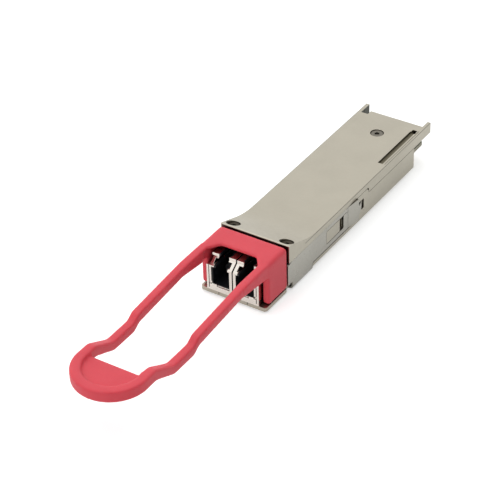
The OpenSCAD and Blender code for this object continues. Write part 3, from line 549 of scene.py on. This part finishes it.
def stand_in(node, mesh):
    """Shows a mesh in place of a CAD node, on the node's body and in its slot."""
    piece = show(f"{node}_finished", mesh)
    slot = slot_of(node)
    mesh.materials.clear()
    mesh.materials.append(finishes[slot])
    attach(piece, frame["nodes"][node]["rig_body"])
    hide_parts(node)
    return piece


def soften(node, width, less=(), more=()):
    """A CAD node with its edges rounded over by that width, less some boxes and with some more."""
    bm = bare_copy(node, less)
    for low, high in more:
        box(bm, low, high)
    piece = stand_in(node, mesh_of(bm, f"{node}_finished", smooth=True))
    if width:
        bevel = piece.modifiers.new("Rounded edges", "BEVEL")
        bevel.width = width
        bevel.segments = 2
        bevel.limit_method = "ANGLE"
        bevel.angle_limit = SHARP
        bevel.use_clamp_overlap = False
    else:
        piece.data.set_sharp_from_angle(angle=SHARP)
    even = piece.modifiers.new("Flat faces stay flat", "WEIGHTED_NORMAL")
    even.weight = 100
    even.keep_sharp = True


def top_cover():
    """Cover whose groove ends in a small blind well."""
    well = [((6.85, 60.5, 6.9), (7.25, 62.3, 8.06)), ((7.85, 60.5, 6.9), (8.3, 62.3, 8.06)),
            ((7.2, 60.5, 6.9), (7.9, 61.25, 8.06)), ((7.2, 61.2, 6.9), (7.9, 62.3, 7.1))]
    soften("top_cover", 0.045 * MM, more=[side_box(1, low, high) for low, high in well])


def base_shell():
    """Base with an opening behind the boss, and a side that stays flush round the bracket's tip."""
    opening = [((7.5, 22.55, 2.42), (9.0, 24.3, 5.9))]
    round_tip = [((8.5, 31.05, 0.6), (9.155, 34.9, 2.6)), ((8.5, 31.05, 5.25), (9.155, 34.9, 6.94)),
                 ((8.5, 33.95, 2.5), (9.155, 34.9, 5.35))]
    soften("base_shell", 0.06 * MM, less=both(opening), more=both(round_tip))


def latch_bracket():
    """Bracket whose arms close the seam above them and reach the tab's legs."""
    upper_edge = ((9.02, 1.2, 6.93), (9.165, 26.3, 7.04))
    front_edge = ((8.78, -0.53, 1.2), (9.16, 0.3, 6.5))
    soften("latch_bracket", 0, more=both([upper_edge, front_edge]))


def port_frame(side, node):
    """Port frame cut back beside its neck and its top, with a gap over its sill."""
    soften(node, 0.05 * MM, less=[
        side_box(side, (6.0, -10.5, 7.21), (7.5, -2.5, 8.70)),         # beside the neck
        side_box(side, (6.5, -10.5, 8.65), (7.5, -2.5, 10.0)),         # beside the top
        side_box(side, (5.6, -10.5, 1.94), (6.3, -9.33, 2.7)),         # over the sill
    ])


def receptacle():
    """Receptacle with a lip in front of each sleeve."""
    bm = bare_copy("receptacle_body")
    for side in SIDES:
        ring(bm, on_module(side * SLEEVE_X, SLEEVE_FRONT, SLEEVE_Z), LIP_INNER, LIP_OUTER, LIP_LENGTH)
    stand_in("receptacle_body", mesh_of(bm, "receptacle_body_finished"))


def return_spring(node):
    """Return spring, whose front end is the fixed one, shown on a mesh of its own."""
    piece = stand_in(node, mesh_of(bare_copy(node), f"{node}_finished", smooth=True))
    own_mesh(piece)


def pull_tab():
    """Tab as one soft moulding: remeshed in small cells and smoothed, so all its edges are round."""
    def set_up(piece):
        cells = piece.modifiers.new("Cells", "REMESH")
        cells.mode = "VOXEL"
        cells.voxel_size = TAB_CELL
        soft = piece.modifiers.new("Soft", "SMOOTH")
        soft.factor = 0.5
        soft.iterations = TAB_PASSES
        lean = piece.modifiers.new("Fewer faces", "DECIMATE")
        lean.ratio = TAB_FACES

    mesh = evaluated("Rough", mesh_of(bare_copy("pull_tab"), "Rough"), set_up)
    mesh.name = "pull_tab_finished"
    smooth_faces(mesh)
    stand_in("pull_tab", mesh)


aim_camera()
make_floor()
light_scene()

finishes = all_finishes()
for name in frame["nodes"]:
    dress(name)

top_cover()
base_shell()
latch_bracket()
port_frame(-1, "port_frame_left")
port_frame(1, "port_frame_right")
receptacle()
return_spring("return_spring_left")
return_spring("return_spring_right")
pull_tab()
